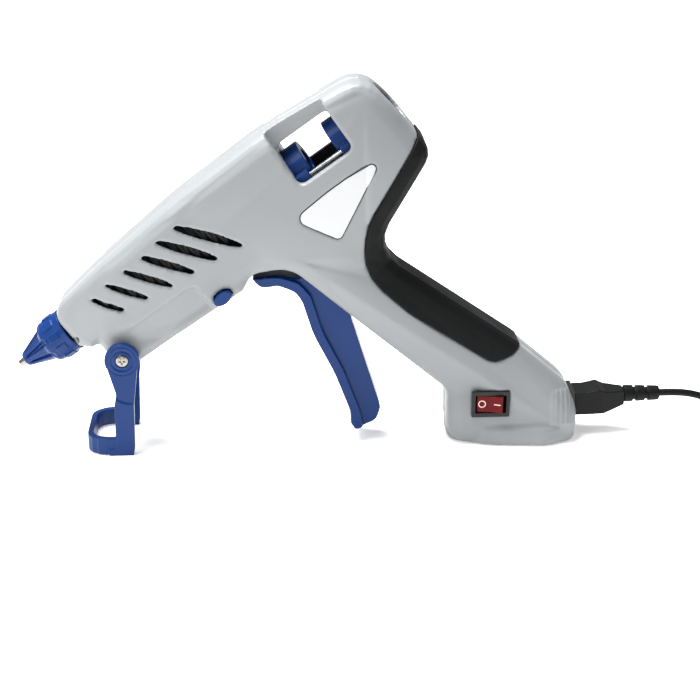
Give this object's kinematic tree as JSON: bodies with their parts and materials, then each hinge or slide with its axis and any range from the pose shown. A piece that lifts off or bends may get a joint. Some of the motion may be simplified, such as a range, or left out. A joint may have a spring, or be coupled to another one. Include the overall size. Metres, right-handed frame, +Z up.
{
  "type": "corded hot-melt glue gun",
  "caption": "Hand-held hot-melt glue gun with a sloping barrel, trigger, rubber-covered handle, fold-out stand, rocker switch and detachable mains cord.",
  "frame": {"origin": "centre of the gun's own footprint on the floor, without the cord", "axes": "-X towards the nozzle, +Z up, -Y the near side, which carries the switch"},
  "size_m": [0.563, 0.0614, 0.2078],
  "materials": {
    "shell": "fine moulded texture",
    "blue": "moulded, satin gloss",
    "grip": "soft overmould, fine grain",
    "black": "moulded",
    "red": "polished",
    "badge": "silver lacquer",
    "steel": "plain",
    "aluminium": "as cast",
    "brass": "nickelled",
    "silicone": "silicone",
    "ceramic": "unglazed",
    "jacket": "cord jacket"
  },
  "bodies": {
    "body": {"housing_left": "shell", "housing_right": "shell", "grip": "grip", "badge_left": "badge", "badge_right": "badge", "nozzle_collar": "blue", "nozzle_tip": "brass", "melt_chamber": "aluminium", "ptc_heater": "ceramic", "heater_clip": "steel", "chamber_mount_front": "ceramic", "chamber_mount_rear": "ceramic", "inlet_sleeve": "silicone", "sleeve_clamp": "steel", "thermal_fuse": "steel", "rear_guide": "blue", "guide_rod": "steel", "guide_rail": "black", "trigger_pin": "steel", "trigger_spring": "steel", "stand_screw_left": "steel", "stand_screw_right": "steel", "latch_spring": "steel", "switch_bezel": "black", "switch_body": "black", "power_inlet": "black", "inlet_pin_left": "brass", "inlet_pin_right": "brass", "wire_live": "silicone", "wire_neutral": "jacket", "cord_connector": "jacket", "strain_relief": "jacket", "cord": "jacket", "cord_coil": "jacket", "coil_tie": "black", "cord_tail": "jacket", "plug_body": "jacket", "plug_pin_left": "steel", "plug_pin_right": "steel", "housing_screw_1": "steel", "housing_screw_2": "steel", "housing_screw_3": "steel", "housing_screw_4": "steel", "housing_screw_5": "steel", "housing_screw_6": "steel", "housing_screw_7": "steel"},
    "trigger": {"trigger": "blue", "drive_pin": "steel"},
    "carriage": {"feed_carriage": "blue", "jaw_pin": "steel"},
    "jaw": {"gripper_jaw": "steel"},
    "stand": {"stand": "blue"},
    "latch_button": {"latch_button": "blue"},
    "switch_rocker": {"switch_rocker": "red"}
  },
  "joints": [
    {"name": "trigger_pull", "type": "hinge", "parent": "body", "child": "trigger", "pos_m": [0.01692, 0, 0.11016], "axis": [0, -1, 0], "range_deg": [0, 18], "stiffness_Nm_per_rad": 1.2, "springref_deg": -20.05},
    {"name": "feed_slide", "type": "slide", "parent": "body", "child": "carriage", "axis": [-0.8141, 0, -0.5807], "range_m": [0, 0.0114]},
    {"name": "jaw_tilt", "type": "hinge", "parent": "carriage", "child": "jaw", "pos_m": [0.00789, 0, 0.15261], "axis": [0, 1, 0], "range_deg": [0, 7.3]},
    {"name": "stand_fold", "type": "hinge", "parent": "body", "child": "stand", "pos_m": [-0.09786, 0, 0.05703], "axis": [0, -1, 0], "range_deg": [0, 125]},
    {"name": "latch_press", "type": "slide", "parent": "body", "child": "latch_button", "axis": [0, 1, 0], "range_m": [0, 0.0015], "stiffness_N_per_m": 900, "springref_m": -0.001},
    {"name": "switch_rock", "type": "hinge", "parent": "body", "child": "switch_rocker", "pos_m": [0.10745, -0.0174, 0.0255], "axis": [0, 0, 1], "range_deg": [0, 24]}
  ],
  "couplings": [
    {"joint": "feed_slide", "follows": "trigger_pull", "m_per_rad": 0.03585},
    {"joint": "jaw_tilt", "follows": "trigger_pull", "ratio": 0.4}
  ]
}
